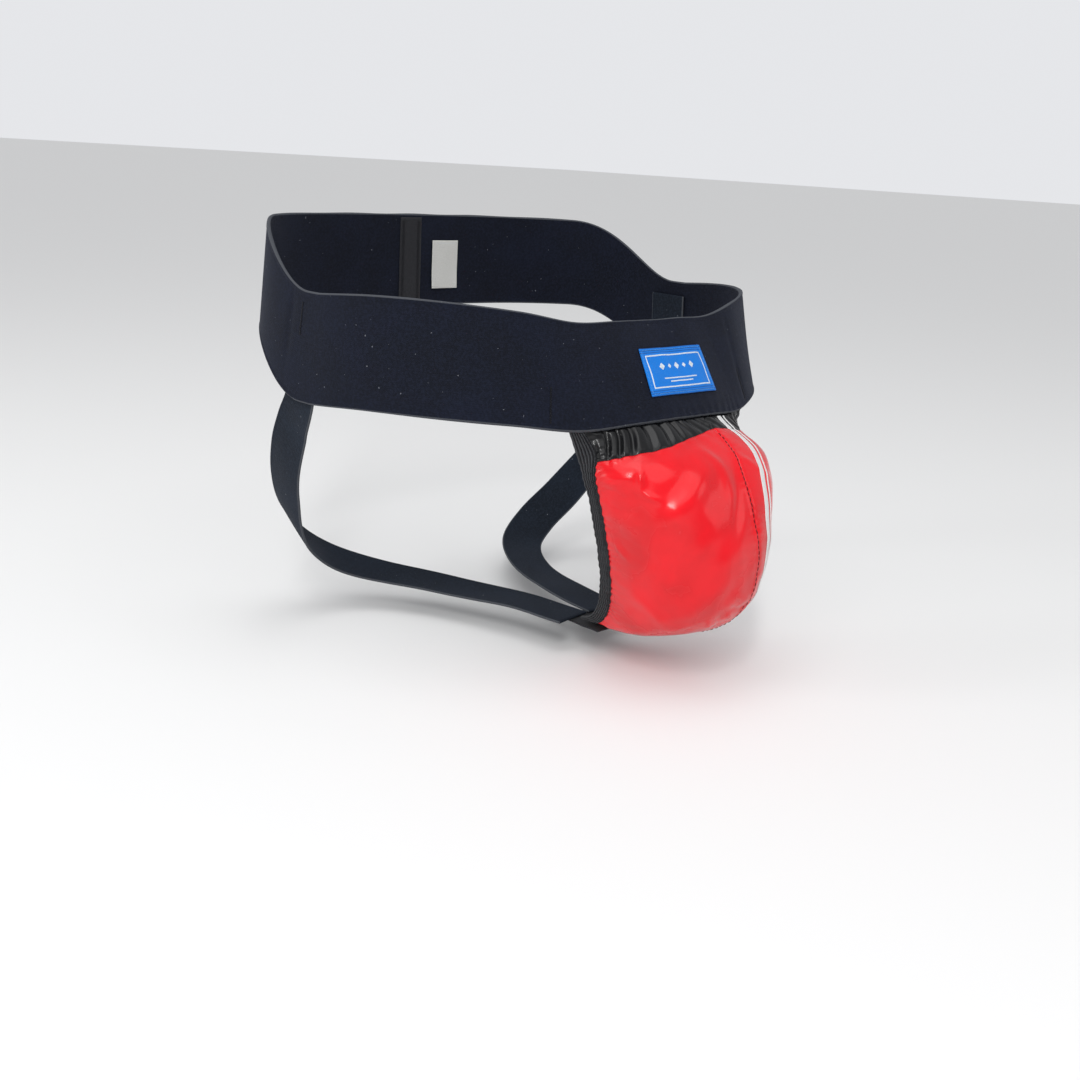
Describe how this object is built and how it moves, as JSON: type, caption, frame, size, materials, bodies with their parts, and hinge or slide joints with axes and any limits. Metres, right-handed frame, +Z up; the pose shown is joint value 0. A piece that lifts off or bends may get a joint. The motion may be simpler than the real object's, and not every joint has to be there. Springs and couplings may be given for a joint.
{
  "type": "groin protector",
  "caption": "Soft groin protector: wide elastic waistband, gathered fabric pouch, leg straps and a removable vented cup.",
  "frame": {"origin": "centre of the waist opening, at the middle of the band's height on the wearer's sides", "axes": "+Z up, -Y the way the wearer faces, +X the wearer's left"},
  "size_m": [0.348, 0.3291, 0.2504],
  "materials": {
    "waistband_elastic": "matte fine rib weave",
    "strap_elastic": "matte fine rib weave",
    "black_twill": "matte twill",
    "label_blue": "woven satin",
    "label_white": "satin",
    "black_thread": "thread",
    "pouch_red": "glossy nylon",
    "yoke_black": "glossy nylon",
    "stripe_white": "satin tape",
    "lining_mesh": "matte mesh",
    "leg_rib": "ribbed elastic",
    "black_webbing": "matte webbing",
    "cup_plastic": "satin moulded",
    "cup_foam": "matte foam",
    "cup_rubber": "matte"
  },
  "bodies": {
    "waistband_assembly": {"waistband": "waistband_elastic", "waistband_join_tape": "black_twill", "front_label": "label_blue", "care_label": "label_white", "leg_strap_right": "strap_elastic", "leg_strap_left": "strap_elastic", "bartack_front_right": "black_thread", "bartack_front_left": "black_thread", "bartack_strap_right": "black_thread", "bartack_strap_left": "black_thread"},
    "pouch": {"pouch_front_panel": "pouch_red", "pouch_side_panel": "pouch_red", "pouch_yoke_right": "yoke_black", "pouch_yoke_left": "yoke_black", "stripe_wide": "stripe_white", "stripe_narrow": "stripe_white", "panel_seam_tape": "black_twill", "pouch_lining": "lining_mesh", "yoke_gather_elastic": "leg_rib", "leg_elastic_right": "leg_rib", "leg_elastic_left": "leg_rib", "crotch_patch": "black_webbing"},
    "cup": {"cup_shell": "cup_plastic", "cup_liner": "cup_foam", "cup_rim": "cup_rubber"}
  },
  "joints": [
    {"name": "pouch_lift", "type": "hinge", "parent": "waistband_assembly", "child": "pouch", "pos_m": [0, -0.1415, -0.0325], "axis": [-1, 0, 0], "range_deg": [0, 30]},
    {"name": "cup_slide", "type": "slide", "parent": "pouch", "child": "cup", "axis": [0, 0.9659, 0.2588], "range_m": [0, 0.1]}
  ]
}
